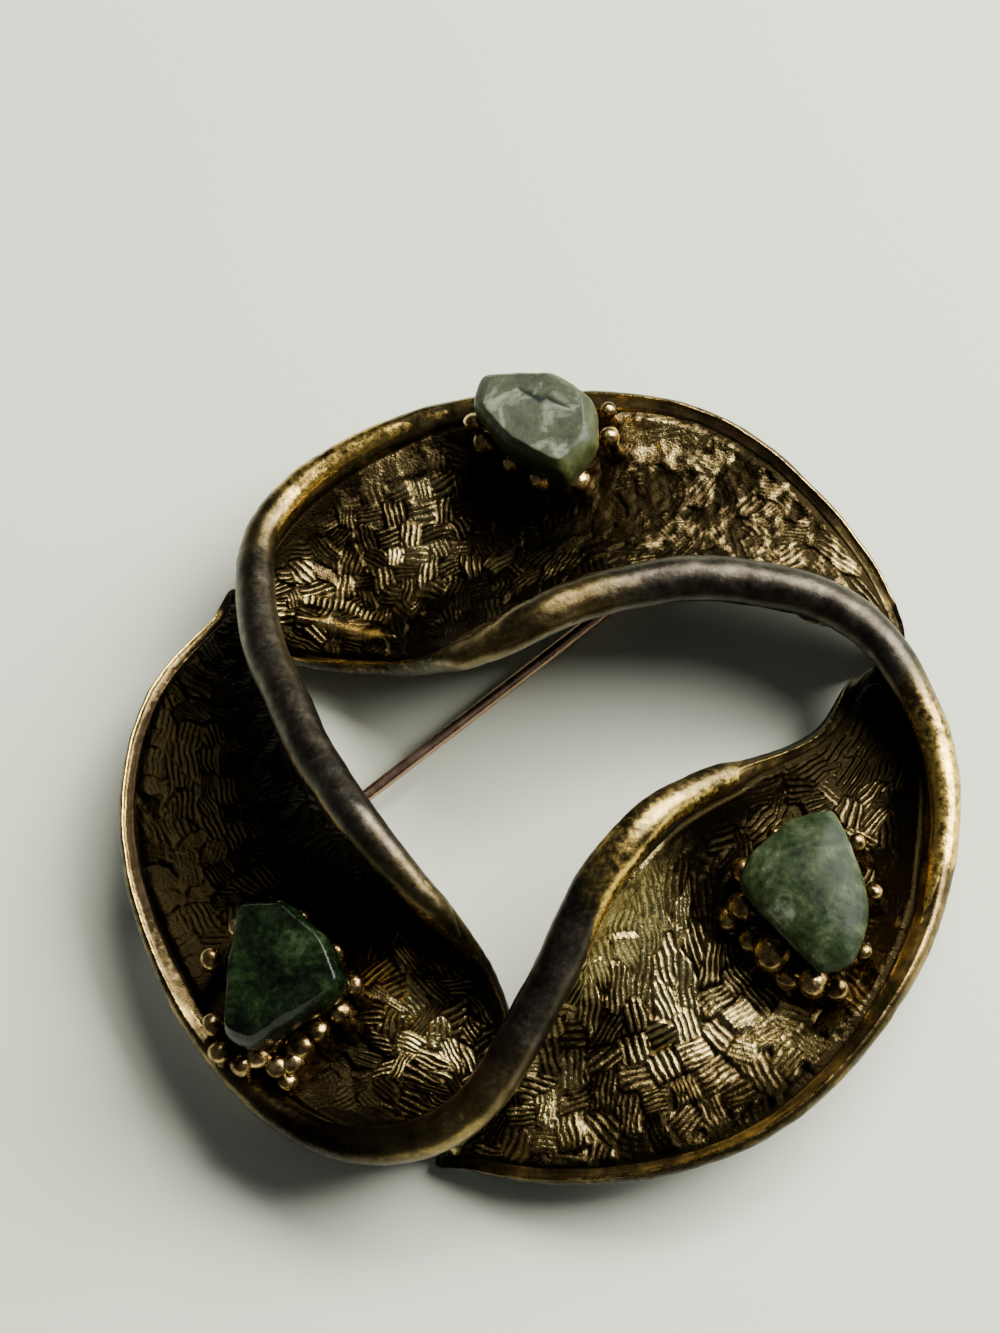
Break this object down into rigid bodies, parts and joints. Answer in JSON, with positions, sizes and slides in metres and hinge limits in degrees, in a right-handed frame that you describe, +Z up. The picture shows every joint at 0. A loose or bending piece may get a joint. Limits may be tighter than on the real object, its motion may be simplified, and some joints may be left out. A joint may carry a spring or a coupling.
{
  "type": "circle brooch",
  "caption": "Ring-shaped brooch: a twisted, hollowed metal ribbon round an open middle, with rough green stones held by beads and a pin across the back.",
  "frame": {"origin": "centre of the footprint, at the level of the lowest bead that the brooch lies on", "axes": "+Z up out of the front of the brooch, +Y towards the lobe that stands at the top in the picture, the brooch lying on its back"},
  "size_m": [0.0496, 0.0486, 0.0137],
  "materials": {
    "antiqued_metal": "gold-plated casting with a brown patina in its woven texture, satin, worn to grey pewter along the ridges",
    "pin_wire": "copper-toned drawn wire, satin",
    "green_stone": "tumbled, cloudy green stone, waxy to glossy"
  },
  "bodies": {
    "frame": {"ribbon_frame": "antiqued_metal", "stone_top": "green_stone", "stone_right": "green_stone", "stone_left": "green_stone"},
    "pin": {"pin_stem": "pin_wire"}
  },
  "joints": [
    {"name": "pin_open", "type": "hinge", "parent": "frame", "child": "pin", "pos_m": [0.00933, 0.01606, 0.0014], "axis": [0.6271, -0.7789, 0], "range_deg": [0, 80]}
  ]
}
